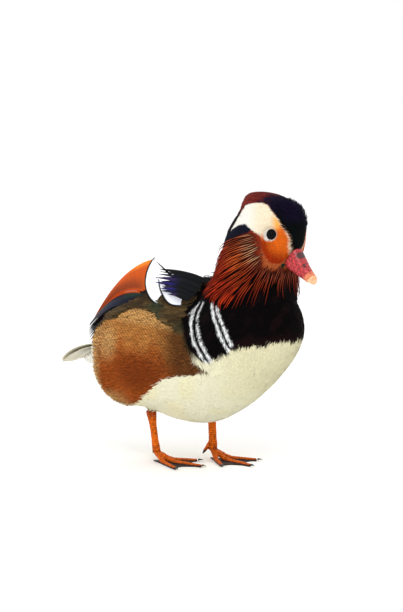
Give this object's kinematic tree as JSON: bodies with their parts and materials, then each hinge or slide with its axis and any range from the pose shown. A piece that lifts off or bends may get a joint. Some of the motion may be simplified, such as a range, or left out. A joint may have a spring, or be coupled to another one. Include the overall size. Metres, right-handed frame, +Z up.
{
  "type": "mandarin duck",
  "caption": "Life-size standing drake duck with tall crest, hackled ruff, raised orange sail feather, round flanks and webbed feet, as a still display model.",
  "frame": {"origin": "on the floor, under the middle of the box round the whole bird", "axes": "+X the way the bird and its bill face, +Y to its left, +Z up"},
  "size_m": [0.2906, 0.1158, 0.2346],
  "materials": {
    "head_feathers": "short orange, cream, purple and black plumage",
    "ruff_feathers": "long chestnut-red hackles with pale shafts",
    "breast_feathers": "maroon-black plumage, cream below",
    "body_feathers": "finely barred buff flanks and cream belly",
    "rump_feathers": "dark olive-brown plumage",
    "undertail_feathers": "white down",
    "tail_feathers": "grey-olive vanes",
    "wing_feathers": "olive-brown vanes, darker and bluish at the tips",
    "shoulder_feathers": "purple-blue glossed vanes",
    "plume_feathers": "white vane edged with black",
    "sail_feathers": "orange vane with a dark lower edge",
    "bill_horn": "satin red horn",
    "bill_nail_horn": "satin pale orange horn",
    "eye": "wet gloss, almost black",
    "leg_skin": "scaly orange skin with dark webs",
    "claw_horn": "dark horn"
  },
  "bodies": {
    "root": {"head": "head_feathers", "neck": "ruff_feathers", "breast": "breast_feathers", "trunk": "body_feathers", "thigh_r": "body_feathers", "thigh_l": "body_feathers", "rump": "rump_feathers", "undertail_coverts": "undertail_feathers", "tail": "tail_feathers", "wing_r": "wing_feathers", "wing_l": "wing_feathers", "primaries_r": "wing_feathers", "primaries_l": "wing_feathers", "shoulder_r": "shoulder_feathers", "shoulder_l": "shoulder_feathers", "plume_r": "plume_feathers", "plume_l": "plume_feathers", "sail_r": "sail_feathers", "sail_l": "sail_feathers", "bill_upper": "bill_horn", "bill_lower": "bill_horn", "bill_nail": "bill_nail_horn", "eye_r": "eye", "eye_l": "eye", "foot_r": "leg_skin", "foot_l": "leg_skin", "hallux_r": "leg_skin", "hallux_l": "leg_skin", "shank_r": "leg_skin", "shank_l": "leg_skin", "claw_outer_r": "claw_horn", "claw_middle_r": "claw_horn", "claw_inner_r": "claw_horn", "claw_outer_l": "claw_horn", "claw_middle_l": "claw_horn", "claw_inner_l": "claw_horn"}
  },
  "joints": []
}
